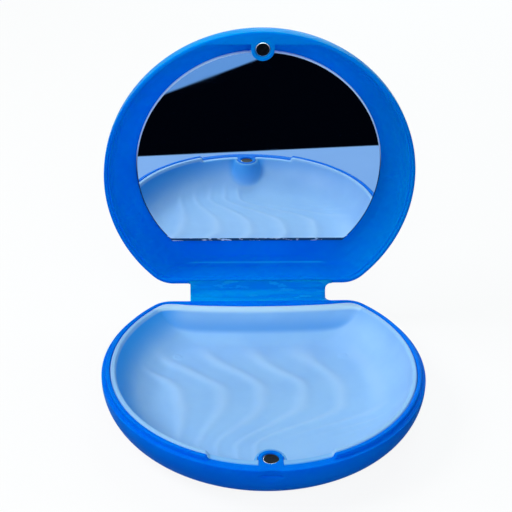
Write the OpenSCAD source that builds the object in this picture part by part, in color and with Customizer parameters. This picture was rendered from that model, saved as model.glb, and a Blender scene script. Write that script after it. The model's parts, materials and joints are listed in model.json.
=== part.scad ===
// Retainer case: a round, flat-backed hinged case with a soft liner, a mirror in the
// lid and a pair of small magnets that hold it shut. Millimetres, +Z up, front to -Y,
// origin on the table under the middle of the round base. The lid is drawn shut and
// then swung back about the hinge line.

/* [Case outline] */
// Radius of the round outline, base and lid alike
case_r = 42; // [38:0.5:50]
// Distance from the middle to the flat back edge
back_y = 32.5; // [31:0.1:36]
// Rounding where the flat back meets the round outline, seen from above
corner_r = 8; // [4:0.5:12]

/* [Base] */
// Height of the base up to the rim that the lid lands on
base_h = 12.3; // [12:0.1:18]
// Rounding of the base's side wall into its foot
base_round = 11.7; // [9:0.1:12]
// Rounding of the base's flat back into its foot
base_back_round = 6; // [4:0.5:8]
// Height of the raised lip inside the rim
lip_h = 1.2; // [0.6:0.1:2]
// Thickness of the raised lip
lip_w = 1.05; // [0.8:0.05:1.5]
// Gap between the lip and the lid's rim
lip_gap = 0.2; // [0.15:0.05:0.4]
// Gap between each end of the lid's ledge and the break in the lip that it drops into
notch_gap = 0.6; // [0.3:0.1:2]
// How far the back wall bows in at its middle
back_bow = 1.5; // [0.5:0.1:2]
// Depth of the thumb scoop in the front wall
scoop_depth = 0.5; // [0.3:0.1:0.8]
// Radius of the thumb scoop
scoop_r = 12; // [8:1:20]
// Distance from the rim down to the middle of the thumb scoop
scoop_drop = 2.2; // [1.5:0.1:4]

/* [Liner] */
// Flat width of the liner's upper edge
liner_rim_w = 1.2; // [0.8:0.1:3]
// Thickness of the liner under its dished floor
liner_floor = 2.4; // [1.5:0.1:3.5]
// Radius of the dish between the liner's edge and its floor
dish_r = 12.5; // [11:0.5:20]
// Thickness of the liner's wall at the flat back
liner_back_w = 1.8; // [0.8:0.1:3]
// Gap between the liner and the base around it
liner_gap = 0.15; // [0.1:0.05:0.3]
// Thickness of the liner's wall around the magnet boss
sleeve_wall = 1.2; // [0.8:0.1:2]

/* [Lid] */
// Height of the lid from its rim to its flat top
lid_h = 11.2; // [9.4:0.1:12.4]
// Rounding of the lid's side wall into its top
lid_round = 9.6; // [7:0.1:10]
// Rounding of the lid's flat back into its top
lid_back_round = 4; // [3:0.5:6]
// Wall thickness of the lid
lid_wall = 1.4; // [1.2:0.1:2]
// Width of the lid's rim face
lid_rim_w = 0.9; // [0.7:0.05:1.2]
// Gap left between the lid's rim and the base's when shut
rim_gap = 0.2; // [0.1:0.05:0.4]
// Distance from the lid's outer edge to the straight ledge inside its front
ledge_inset = 3.5; // [3:0.1:4]
// Thickness of that ledge
ledge_t = 1.6; // [1:0.1:2.5]

/* [Mirror] */
// Gap between the mirror's round edge and the lid's magnet boss
mirror_gap = 0.45; // [0.1:0.05:2]
// Distance from the lid's flat back to the mirror's straight edge
mirror_back = 9; // [6:0.5:14]
// Thickness of the mirror
mirror_t = 1.1; // [0.8:0.1:2]
// Thickness of the tape behind the mirror
tape_t = 0.4; // [0.2:0.1:1]
// How far the tape stays in from the mirror's edge
tape_inset = 3; // [1:0.5:8]

/* [Magnets] */
// Diameter of each disc magnet
magnet_d = 4; // [3:0.5:4.5]
// Thickness of each disc magnet
magnet_t = 2; // [1.5:0.5:3]
// Distance from the case's outer edge to the magnets' middle
magnet_inset = 4.9; // [4.7:0.1:6]
// Wall around each magnet's pocket
boss_wall = 1; // [0.8:0.1:1.2]
// Gap around each magnet in its pocket
magnet_gap = 0.05; // [0.03:0.01:0.1]
// How far each magnet's face sits below its boss
magnet_sunk = 0.3; // [0.1:0.1:0.6]

/* [Hinge strap] */
// Width of the strap along the back
strap_w = 38; // [24:1:44]
// Distance from the flat back edge to the hinge line
strap_reach = 3.4; // [3:0.1:6]
// Thickness of each leaf of the strap
strap_t = 0.9; // [0.7:0.1:1.2]
// Radius of the round bead along the hinge line
bead_r = 0.45; // [0.35:0.05:0.6]
// Gap between the bead and the lid's leaf
bead_gap = 0.08; // [0.04:0.01:0.1]
// Angle that the lid stands open
open_deg = 91; // [0:1:180]

/* [Hidden] */
$fn = 96;
shell_blue = [0.02, 0.38, 0.84];
liner_blue = [0.55, 0.74, 0.95];
// Cutters run past the faces that they open by this much
past = 1;
// Larger than any outline here, for blocks that only trim
far = 3 * case_r;
// The rim's radii, from the lid's rim inwards to the liner
recess_in = lid_rim_w;
lip_out_in = recess_in + lip_gap;
base_wall = lip_out_in + lip_w;
liner_in = base_wall + liner_gap;
// At the flat back the lip stands inside the lid's back wall
lip_back_in = lid_wall + lip_gap;
back_wall = lip_back_in + lip_w;
liner_back_in = back_wall + liner_gap;
rim_z = base_h;
lip_z = rim_z + lip_h;
floor_z = base_wall + liner_floor;
recess_h = lip_h + rim_gap;
lid_z = rim_z + rim_gap;
hinge_y = back_y + strap_reach;
hinge_z = rim_z + rim_gap / 2;
magnet_y = case_r - magnet_inset;
pocket_r = magnet_d / 2 + magnet_gap;
pocket_depth = magnet_t + magnet_sunk;
boss_r = pocket_r + boss_wall;
mirror_r = magnet_y - boss_r - mirror_gap;
mirror_back_y = back_y - mirror_back;
mirror_floor = lid_h - lid_wall;
// The ledge runs half way into the rim, and its straight edge ends at the lid's recess
ledge_r = case_r - recess_in / 2;
ledge_y = case_r - ledge_inset;
ledge_half_w = sqrt(pow(case_r - recess_in, 2) - pow(ledge_y, 2));
notch_half_w = ledge_half_w + notch_gap;
// The dish's arc runs from the liner's edge down to the flat floor
dish_depth = lip_z - floor_z;
dish_run = sqrt(pow(dish_r, 2) - pow(dish_r - dish_depth, 2));

// Outline of the case drawn in by "inset" all round and by "back_inset" at the flat back
module outline(inset, back_inset) {
  intersection() {
    circle(r = case_r - inset);
    translate([-far, -far]) square([2 * far, far + back_y - back_inset]);
  }
}

// What the rounded corners leave of the two back corners, one side
module corner_cut() {
  x = sqrt(pow(case_r - corner_r, 2) - pow(back_y - corner_r, 2));
  y = back_y - corner_r;
  reach = case_r / (case_r - corner_r);
  difference() {
    polygon([[x, back_y], [x, back_y + past], [x * reach + past, back_y + past],
             [x * reach + past, y * reach], [x * reach, y * reach]]);
    translate([x, y]) circle(r = corner_r);
  }
}

// Half section of a dish of radius r and height h, with its side rounded into its foot
module dish_half(r, h, round) {
  square([r - round, h]);
  translate([0, round]) square([r, h - round]);
  intersection() {
    translate([r - round, round]) circle(r = round);
    square([r, h]);
  }
}

// Side view of the same dish with its flat back at y, rounded into the foot
module back_side(y, h, round) {
  translate([-far, 0]) square([far + y - round, h]);
  translate([-far, round]) square([far + y, h - round]);
  intersection() {
    translate([y - round, round]) circle(r = round);
    square([far, h]);
  }
}

// Round dish with a flat back, foot on z = 0
module dish(r, y, h, round, back_round) {
  intersection() {
    rotate_extrude() dish_half(r, h, round);
    rotate([90, 0, 90]) linear_extrude(2 * far, center = true) back_side(y, h, back_round);
  }
}

// Upright wall that bows the inside of the back in, from z = 0 up
module back_bow_wall(y, h) {
  half = sqrt(pow(case_r, 2) - pow(back_y, 2));
  r = (pow(half, 2) + pow(back_bow, 2)) / (2 * back_bow);
  translate([0, y - back_bow + r, 0]) cylinder(r = r, h = h, $fn = 360);
}

// Everything that is drawn shut and belongs to the lid is swung open about the hinge line
module swung() {
  translate([0, hinge_y, hinge_z])
    rotate([-open_deg, 0, 0])
      translate([0, -hinge_y, lid_z - hinge_z]) children();
}

// Turns a shape with its foot on z = 0 and height h over, so that its rim is on z = 0
module turned_over(h) {
  translate([0, 0, h]) mirror([0, 0, 1]) children();
}

module base_cavity() {
  difference() {
    translate([0, 0, base_wall])
      dish(case_r - base_wall, back_y - back_wall, lip_z - base_wall + past,
           base_round - base_wall, base_back_round - base_wall);
    back_bow_wall(back_y - back_wall, lip_z + 2 * past);
  }
}

// Break in the lip at the front, from z = 0 up
module lip_notch() {
  translate([-notch_half_w, -far, 0]) cube([2 * notch_half_w, far, lip_h + past]);
}

// Post at the front that carries a magnet, joined to the wall behind it
module boss(h) {
  translate([0, -magnet_y, 0]) cylinder(r = boss_r, h = h);
  translate([-boss_r, -case_r, 0]) cube([2 * boss_r, magnet_inset, h]);
}

// Pocket for a magnet, as it is in the lid, open below z = 0
module magnet_pocket() {
  translate([0, -magnet_y, -past]) cylinder(r = pocket_r, h = pocket_depth + past);
}

module thumb_scoop() {
  translate([0, -case_r - scoop_r + scoop_depth, rim_z - scoop_drop]) sphere(r = scoop_r);
}

module base_body() {
  dish(case_r, back_y, base_h, base_round, base_back_round);
}

module base_shell() {
  color(shell_blue)
    difference() {
      union() {
        difference() {
          union() {
            base_body();
            translate([0, 0, rim_z - past])
              linear_extrude(lip_h + past) outline(lip_out_in, lip_back_in);
          }
          base_cavity();
          translate([0, 0, rim_z]) lip_notch();
        }
        intersection() {
          boss(rim_z);
          base_body();
        }
      }
      for (side = [0, 1])
        mirror([side, 0, 0])
          translate([0, 0, -past]) linear_extrude(lip_z + 2 * past) corner_cut();
      turned_over(rim_z) magnet_pocket();
      thumb_scoop();
    }
}

module liner_outside() {
  difference() {
    translate([0, 0, base_wall])
      dish(case_r - liner_in, back_y - liner_back_in, lip_z - base_wall,
           base_round - base_wall, base_back_round - base_wall);
    back_bow_wall(back_y - liner_back_in, lip_z + past);
  }
}

// Half section of the dished hollow: its arc meets the liner's edge at the lip's height
module hollow_half() {
  flat_r = case_r - liner_in - liner_rim_w - dish_run;
  intersection() {
    translate([flat_r, floor_z + dish_r]) circle(r = dish_r);
    translate([0, floor_z]) square([far, dish_depth + past]);
  }
  translate([0, floor_z]) square([flat_r, dish_depth + past]);
}

module liner_hollow() {
  difference() {
    rotate_extrude() hollow_half();
    back_bow_wall(back_y - liner_back_in - liner_back_w, lip_z + 2 * past);
  }
}

module base_liner() {
  sleeve_r = boss_r + liner_gap;
  color(liner_blue)
    difference() {
      union() {
        difference() {
          liner_outside();
          liner_hollow();
        }
        intersection() {
          liner_outside();
          translate([0, -magnet_y, 0]) cylinder(r = sleeve_r + sleeve_wall, h = rim_z);
        }
      }
      translate([0, -magnet_y, 0]) cylinder(r = sleeve_r, h = lip_z + past);
      translate([-sleeve_r, -case_r, 0]) cube([2 * sleeve_r, magnet_inset, lip_z + past]);
      translate([0, 0, rim_z]) lip_notch();
    }
}

module magnet() {
  color([0.75, 0.76, 0.78]) cylinder(d = magnet_d, h = magnet_t);
}

module base_magnet() {
  translate([0, -magnet_y, rim_z - pocket_depth]) magnet();
}

// Leaf of the strap that grows from the base, with the bead that the lid's leaf turns on
module strap_base_leaf() {
  color(shell_blue) {
    translate([-strap_w / 2, back_y, rim_z - strap_t])
      cube([strap_w, strap_reach - bead_r - bead_gap, strap_t]);
    translate([-strap_w / 2, back_y, rim_z - bead_r]) cube([strap_w, strap_reach, bead_r]);
    translate([-strap_w / 2, hinge_y, hinge_z]) rotate([0, 90, 0]) cylinder(r = bead_r, h = strap_w);
  }
}

// Leaf of the strap that grows from the lid, drawn shut and swung open
module strap_lid_leaf() {
  color(shell_blue)
    swung()
      difference() {
        translate([-strap_w / 2, back_y, 0]) cube([strap_w, strap_reach - bead_gap, strap_t]);
        translate([-strap_w / 2 - past, hinge_y, hinge_z - lid_z])
          rotate([0, 90, 0]) cylinder(r = bead_r + bead_gap, h = strap_w + 2 * past);
      }
}

module lid_body() {
  turned_over(lid_h) dish(case_r, back_y, lid_h, lid_round, lid_back_round);
}

module lid_cavity() {
  translate([0, 0, -past])
    turned_over(mirror_floor + past)
      dish(case_r - lid_wall, back_y - lid_wall, mirror_floor + past,
           lid_round - lid_wall, lid_back_round - lid_wall);
  translate([0, 0, -past]) linear_extrude(recess_h + past) outline(recess_in, lid_wall);
}

// Straight-edged ledge inside the front rim, for a thumb to lift
module lid_ledge() {
  linear_extrude(ledge_t)
    difference() {
      circle(r = ledge_r);
      translate([-far, -ledge_y]) square(2 * far);
    }
}

module lid_shell() {
  color(shell_blue)
    swung()
      difference() {
        union() {
          difference() {
            lid_body();
            lid_cavity();
          }
          lid_ledge();
          intersection() {
            boss(lid_h);
            lid_body();
          }
        }
        for (side = [0, 1])
          mirror([side, 0, 0]) translate([0, 0, -past]) linear_extrude(lid_h + 2 * past) corner_cut();
        magnet_pocket();
      }
}

module mirror_outline(inset) {
  intersection() {
    circle(r = mirror_r - inset);
    translate([-far, -far]) square([2 * far, far + mirror_back_y - inset]);
  }
}

module mirror_tape() {
  color("white")
    swung() translate([0, 0, mirror_floor - tape_t]) linear_extrude(tape_t) mirror_outline(tape_inset);
}

module mirror_pane() {
  color([0.8, 0.84, 0.88])
    swung()
      translate([0, 0, mirror_floor - tape_t - mirror_t]) linear_extrude(mirror_t) mirror_outline(0);
}

module lid_magnet() {
  swung() translate([0, -magnet_y, magnet_sunk]) magnet();
}

base_shell();
base_liner();
base_magnet();
strap_base_leaf();
strap_lid_leaf();
lid_shell();
mirror_pane();  // mirror
mirror_tape();
lid_magnet();
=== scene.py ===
"""Looks of a round, flat-backed retainer case that stands open on its base.

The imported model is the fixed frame. Each class below holds one piece's sizes, in
millimetres, and builds its mesh and dresses it. Pieces of the lid are drawn shut, with
the lid's rim on z = 0, and then swung open about the hinge line.
"""

import json
import logging
import math
from dataclasses import dataclass
from enum import Enum

import bmesh
import bpy
import numpy as np
from mathutils import Matrix, Vector

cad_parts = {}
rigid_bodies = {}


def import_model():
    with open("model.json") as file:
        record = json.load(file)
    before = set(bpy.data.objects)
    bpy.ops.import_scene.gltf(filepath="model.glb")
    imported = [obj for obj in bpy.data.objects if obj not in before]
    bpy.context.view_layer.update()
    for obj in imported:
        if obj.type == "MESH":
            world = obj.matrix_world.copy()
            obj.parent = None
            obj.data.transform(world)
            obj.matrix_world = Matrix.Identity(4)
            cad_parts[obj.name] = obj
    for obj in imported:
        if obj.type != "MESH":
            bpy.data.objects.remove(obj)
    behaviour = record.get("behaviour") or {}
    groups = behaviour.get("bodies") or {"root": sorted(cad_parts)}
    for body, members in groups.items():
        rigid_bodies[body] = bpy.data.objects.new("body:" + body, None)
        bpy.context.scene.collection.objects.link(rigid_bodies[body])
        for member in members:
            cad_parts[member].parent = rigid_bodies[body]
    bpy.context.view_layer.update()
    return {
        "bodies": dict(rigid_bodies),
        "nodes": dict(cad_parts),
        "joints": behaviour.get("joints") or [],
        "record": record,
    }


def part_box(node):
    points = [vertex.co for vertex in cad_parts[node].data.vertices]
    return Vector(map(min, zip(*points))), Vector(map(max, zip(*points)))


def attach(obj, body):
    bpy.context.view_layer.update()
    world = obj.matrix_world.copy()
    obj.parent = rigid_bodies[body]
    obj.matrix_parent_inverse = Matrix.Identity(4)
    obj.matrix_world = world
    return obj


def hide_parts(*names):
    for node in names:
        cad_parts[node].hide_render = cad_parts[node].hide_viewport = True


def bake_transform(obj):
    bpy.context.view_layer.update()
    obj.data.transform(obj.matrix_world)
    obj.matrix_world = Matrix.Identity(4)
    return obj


Colour = tuple[float, ...]
Span = tuple[float, float]
Triple = tuple[float, float, float]

LOG = logging.getLogger("retainer_case")
MM = 0.001
EVEN = (1.0, 1.0, 1.0)
WHITE = (1.0, 1.0, 1.0, 1.0)
SHARP_DEG = 40.0
NOISE_MEAN = 0.5
FLOOR = "floor"
CREST = "crest"


class Body(Enum):
    """The two bodies that the hinge joins."""

    BASE = "base"
    LID = "lid"


def smoothstep(low: float, high: float, value: np.ndarray) -> np.ndarray:
    """Eases from 0 at low to 1 at high."""
    t = np.clip((value - low) / (high - low), 0.0, 1.0)
    return t * t * (3.0 - 2.0 * t)


def soft_max(a: np.ndarray, b: np.ndarray, width: float) -> np.ndarray:
    """Larger of two heights, with the crease between them filled over a width."""
    share = np.clip(0.5 + 0.5 * (a - b) / width, 0.0, 1.0)
    return b + (a - b) * share + width * share * (1.0 - share)


def soft_min(a: np.ndarray, b: np.ndarray, width: float) -> np.ndarray:
    """Smaller of two heights, with the edge between them rounded over a width."""
    return -soft_max(-a, -b, width)


def drawn_in(gap: float, radius: float) -> float:
    """How far a rounding has drawn a face in at a distance from the rounding's end."""
    short = min(max(radius - gap, 0.0), radius)
    return radius - math.sqrt(radius**2 - short**2)


def circle(radius: float, y: float, steps: int) -> np.ndarray:
    """Points of a circle with its middle on x = 0.

    Args:
        radius: Radius of the circle.
        y: Where its middle is along Y.
        steps: Number of points.

    Returns:
        One row of x and y for each point, anticlockwise.
    """
    angle = np.linspace(0.0, math.tau, steps, endpoint=False)
    return np.column_stack([radius * np.cos(angle), y + radius * np.sin(angle)])


def at_height(points: np.ndarray, z: float) -> np.ndarray:
    """Lifts flat points to one height."""
    return np.column_stack([points, np.full(len(points), z)])


@dataclass(frozen=True)
class Corner:
    """A corner of a section: how far in from the outline, how high, and how round.

    The back inset is that of the flat back, the bow is how far the back curves in at its
    middle, and the tightening is taken off the plan's corner radius.
    """

    side: float
    back: float
    height: float
    radius: float = 0.0
    tightening: float = 0.0
    bow: float = 0.0

    def row(self) -> np.ndarray:
        """The corner as a row of a section."""
        return np.array([self.side, self.back, self.height, self.tightening, self.bow])


def rounded(corners: list[Corner], steps: int = 5) -> np.ndarray:
    """Section through corners that are each rounded by their own radius.

    Args:
        corners: The corners in order; the first and last are end points.
        steps: Number of segments in each rounding.

    Returns:
        One row for each point of the section.
    """
    rows = [corners[0].row()]
    for before, here, after in zip(corners, corners[1:], corners[2:]):
        middle = here.row()
        back = before.row() - middle
        on = after.row() - middle
        back *= here.radius / np.linalg.norm(back[:3])
        on *= here.radius / np.linalg.norm(on[:3])
        for turn in np.linspace(0.0, math.pi / 2, steps + 1):
            rows.append(middle + back * (1.0 - math.sin(turn)) + on * (1.0 - math.cos(turn)))
    rows.append(corners[-1].row())
    return np.array(rows)


@dataclass(frozen=True)
class CaseOutline:
    """Plan of the case: most of a circle, closed by a flat back with rounded corners."""

    radius: float
    back: float
    corner: float = 8.0
    front_steps: int = 480
    corner_steps: int = 16
    back_steps: int = 40

    def ring(self, inset: float, back_inset: float, tightening: float = 0.0, bow: float = 0.0) -> np.ndarray:
        """Points of the outline drawn in from its edge.

        Args:
            inset: Distance in from the round edge.
            back_inset: Distance in from the flat back.
            tightening: What is taken off the corner radius.
            bow: How far the back curves in at its middle.

        Returns:
            One row of x and y for each point, anticlockwise.
        """
        radius = self.radius - inset
        back = self.back - back_inset
        corner = self.corner - tightening
        side_y = back - corner
        side_x = math.sqrt((radius - corner) ** 2 - side_y**2)
        turn = math.atan2(side_y, side_x)
        front = np.linspace(math.pi - turn, math.tau + turn, self.front_steps, endpoint=False)
        right = np.linspace(turn, math.pi / 2, self.corner_steps, endpoint=False)
        left = np.linspace(math.pi / 2, math.pi - turn, self.corner_steps, endpoint=False)
        across = np.linspace(side_x, -side_x, self.back_steps, endpoint=False)
        points = np.concatenate(
            [
                radius * np.column_stack([np.cos(front), np.sin(front)]),
                np.column_stack([side_x + corner * np.cos(right), side_y + corner * np.sin(right)]),
                np.column_stack([across, np.full(len(across), back)]),
                np.column_stack([-side_x + corner * np.cos(left), side_y + corner * np.sin(left)]),
            ]
        )
        half = math.sqrt(radius**2 - back**2)
        rear = points[:, 1] > side_y
        points[rear, 1] -= bow * np.clip(1.0 - (points[rear, 0] / half) ** 2, 0.0, None)
        return points

    def rings(self, section: np.ndarray) -> list[np.ndarray]:
        """Rings of the outline at each row of a section."""
        return [at_height(self.ring(row[0], row[1], row[3], row[4]), row[2]) for row in section]


class SolidBuilder:
    """Collects closed lofts, in millimetres, and makes one mesh object of them."""

    def __init__(self) -> None:
        """Starts with nothing in it."""
        self.points: list[np.ndarray] = []
        self.faces: list[tuple[int, ...]] = []
        self.slots: list[int] = []
        self.count = 0

    def loft(self, rings: list[np.ndarray], slots: list[int] | None = None) -> None:
        """Adds a solid whose skin runs through rings of as many points, capped at both ends.

        Args:
            rings: The rings in order, each with rows of x, y and z.
            slots: Material slot of each cap and each band between rings, or 0 for all.
        """
        size = len(rings[0])
        slots = slots or [0] * (len(rings) + 1)
        start = self.count
        self.points.extend(rings)
        self.points.append(np.array([rings[0].mean(axis=0), rings[-1].mean(axis=0)]))
        self.count += size * len(rings) + 2
        first_cap = self.count - 2
        last_cap = self.count - 1
        last = start + size * (len(rings) - 1)
        for k in range(size):
            after = (k + 1) % size
            self.faces.append((first_cap, start + after, start + k))
            self.slots.append(slots[0])
            for band in range(len(rings) - 1):
                low = start + band * size
                self.faces.append((low + k, low + after, low + size + after, low + size + k))
                self.slots.append(slots[band + 1])
            self.faces.append((last_cap, last + k, last + after))
            self.slots.append(slots[-1])

    def make(
        self, name: str, placing: Matrix | None = None, sharp_deg: float = SHARP_DEG
    ) -> bpy.types.Object:
        """Makes the mesh object, in metres, with smooth faces that point outwards.

        Args:
            name: Name of the object.
            placing: Where the piece goes, in metres, or None to leave it as drawn.
            sharp_deg: Edges that turn by more than this stay sharp.

        Returns:
            The new object, at the origin.
        """
        mesh = bpy.data.meshes.new(name)
        mesh.from_pydata((np.concatenate(self.points) * MM).tolist(), [], self.faces)
        mesh.polygons.foreach_set("material_index", self.slots)
        mesh.polygons.foreach_set("use_smooth", [True] * len(self.faces))
        work = bmesh.new()
        work.from_mesh(mesh)
        bmesh.ops.recalc_face_normals(work, faces=work.faces)
        work.to_mesh(mesh)
        work.free()
        if placing is not None:
            mesh.transform(placing)
        mesh.set_sharp_from_angle(angle=math.radians(sharp_deg))
        piece = bpy.data.objects.new(name, mesh)
        bpy.context.scene.collection.objects.link(piece)
        return piece


def united(
    name: str, solids: list[SolidBuilder], placing: Matrix | None = None, bore: SolidBuilder | None = None
) -> bpy.types.Object:
    """Joins several solids into one skin, with nothing left inside.

    Args:
        name: Name of the joined piece.
        solids: The solids, the largest first.
        placing: Where the piece goes, in metres, or None to leave it as drawn.
        bore: A solid that is cut out of the joined piece, or None.

    Returns:
        The piece, at the origin.
    """
    piece = solids[0].make(name)
    steps = [(solid, "UNION") for solid in solids[1:]]
    if bore is not None:
        steps.append((bore, "DIFFERENCE"))
    extras = []
    for solid, operation in steps:
        extra = solid.make(f"{name}_{len(extras)}")
        extras.append(extra)
        modifier = piece.modifiers.new(extra.name, "BOOLEAN")
        modifier.operation = operation
        modifier.solver = "MANIFOLD"
        modifier.object = extra
    shown = piece.evaluated_get(bpy.context.evaluated_depsgraph_get())
    mesh = bpy.data.meshes.new_from_object(shown)
    piece.modifiers.clear()
    drawn = piece.data
    piece.data = mesh
    bpy.data.meshes.remove(drawn)
    for extra in extras:
        bpy.data.meshes.remove(extra.data)
    if placing is not None:
        mesh.transform(placing)
    mesh.materials.clear()
    mesh.polygons.foreach_set("material_index", [0] * len(mesh.polygons))
    mesh.polygons.foreach_set("use_smooth", [True] * len(mesh.polygons))
    mesh.set_sharp_from_angle(angle=math.radians(SHARP_DEG))
    return piece


class Value:
    """A node's output that takes part in Python arithmetic."""

    def __init__(self, graph: "Graph", socket: bpy.types.NodeSocket) -> None:
        """Wraps one output socket of a graph."""
        self.graph = graph
        self.socket = socket

    def __add__(self, other: "Value | float") -> "Value":
        """Sum."""
        return self.graph.math("ADD", self, other)

    __radd__ = __add__

    def __sub__(self, other: "Value | float") -> "Value":
        """Difference."""
        return self.graph.math("SUBTRACT", self, other)

    def __rsub__(self, other: "Value | float") -> "Value":
        """Difference the other way round."""
        return self.graph.math("SUBTRACT", other, self)

    def __mul__(self, other: "Value | float") -> "Value":
        """Product."""
        return self.graph.math("MULTIPLY", self, other)

    __rmul__ = __mul__

    def __truediv__(self, other: "Value | float") -> "Value":
        """Quotient."""
        return self.graph.math("DIVIDE", self, other)

    def __pow__(self, other: "Value | float") -> "Value":
        """Power."""
        return self.graph.math("POWER", self, other)

    def __abs__(self) -> "Value":
        """Size without its sign."""
        return self.graph.math("ABSOLUTE", self)


class Graph:
    """A node tree, for a material, the world or a shape, that is written as expressions."""

    def __init__(self, tree: bpy.types.NodeTree) -> None:
        """Clears the tree and starts afresh."""
        self.tree = tree
        tree.nodes.clear()

    def node(self, kind: str, settings: dict | None = None, inputs: dict | None = None) -> bpy.types.Node:
        """Adds a node.

        Args:
            kind: Blender's name of the node's type.
            settings: Values of the node's own properties.
            inputs: Values or links of its sockets, by name or number.

        Returns:
            The new node.
        """
        made = self.tree.nodes.new(kind)
        for name, value in (settings or {}).items():
            setattr(made, name, value)
        for name, value in (inputs or {}).items():
            if isinstance(value, Value):
                self.tree.links.new(value.socket, made.inputs[name])
            else:
                made.inputs[name].default_value = value
        return made

    def value(
        self, kind: str, output: str | int, settings: dict | None = None, inputs: dict | None = None
    ) -> Value:
        """Adds a node and gives one of its outputs."""
        return Value(self, self.node(kind, settings, inputs).outputs[output])

    def math(self, operation: str, *terms: "Value | float") -> Value:
        """Adds a Math node for one operation on its terms."""
        return self.value("ShaderNodeMath", 0, {"operation": operation}, dict(enumerate(terms)))

    def larger(self, a: Value, b: "Value | float") -> Value:
        """Larger of two values."""
        return self.math("MAXIMUM", a, b)

    def hypot(self, a: Value, b: Value) -> Value:
        """Distance that two sides at right angles span."""
        return (a * a + b * b) ** 0.5

    def ease(self, value: Value, low: float, high: float) -> Value:
        """Eases from 0 to 1 as a value goes from low to high."""
        ends = {"Value": value, "From Min": low, "From Max": high}
        return self.value("ShaderNodeMapRange", "Result", {"interpolation_type": "SMOOTHSTEP"}, ends)

    def ease_mm(self, length: Value, ends: Span) -> Value:
        """Eases from 0 to 1 as a length goes from one size in millimetres to another."""
        return self.ease(length, ends[0] * MM, ends[1] * MM)

    def place(self) -> Value:
        """Where a point of the surface is on its own piece, in metres."""
        return self.value("ShaderNodeTexCoord", "Object")

    def parts(self, place: Value) -> list[Value]:
        """The x, y and z of a place."""
        split = self.node("ShaderNodeSeparateXYZ", {}, {0: place})
        return [Value(self, socket) for socket in split.outputs]

    def noise(self, size_mm: float, detail: float = 2.0, along: Triple = EVEN) -> Value:
        """Cloudy value from 0 to 1.

        Args:
            size_mm: Size of its clouds.
            detail: How much finer detail they hold.
            along: Stretch of the pattern's own coordinates, so that small values draw it out.

        Returns:
            The value.
        """
        stretched = self.value("ShaderNodeMapping", "Vector", {}, {"Vector": self.place(), "Scale": along})
        pattern = {"Vector": stretched, "Scale": 1.0 / (size_mm * MM), "Detail": detail}
        return self.value("ShaderNodeTexNoise", "Fac", {}, pattern)

    def mix(self, share: Value, low: "Colour | Value", high: "Colour | Value") -> Value:
        """Mixes two colours by a share."""
        return self.value("ShaderNodeMix", 2, {"data_type": "RGBA"}, {0: share, 6: low, 7: high})

    def bump(self, height: Value, depth_mm: float, strength: float) -> Value:
        """Surface normal that a fine relief gives."""
        relief = {"Height": height, "Distance": depth_mm * MM, "Strength": strength}
        return self.value("ShaderNodeBump", "Normal", {}, relief)


def linear(red: int, green: int, blue: int) -> Colour:
    """Linear colour of a screen colour.

    Args:
        red: Red channel, from 0 to 255.
        green: Green channel, from 0 to 255.
        blue: Blue channel, from 0 to 255.

    Returns:
        The linear channels and an alpha of 1.
    """
    shares = [value / 255.0 for value in (red, green, blue)]
    return (*(s / 12.92 if s <= 0.04045 else ((s + 0.055) / 1.055) ** 2.4 for s in shares), 1.0)


def new_material(name: str) -> tuple[bpy.types.Material, Graph]:
    """Makes an empty material.

    Args:
        name: Name of the material.

    Returns:
        The material and the graph that fills it.
    """
    material = bpy.data.materials.new(name)
    material.use_nodes = True
    return material, Graph(material.node_tree)


def close_material(graph: Graph, sockets: dict) -> None:
    """Ends a material's graph in one Principled shader with the given sockets."""
    shader = graph.value("ShaderNodeBsdfPrincipled", "BSDF", {}, sockets)
    graph.node("ShaderNodeOutputMaterial", {}, {"Surface": shader})


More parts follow.
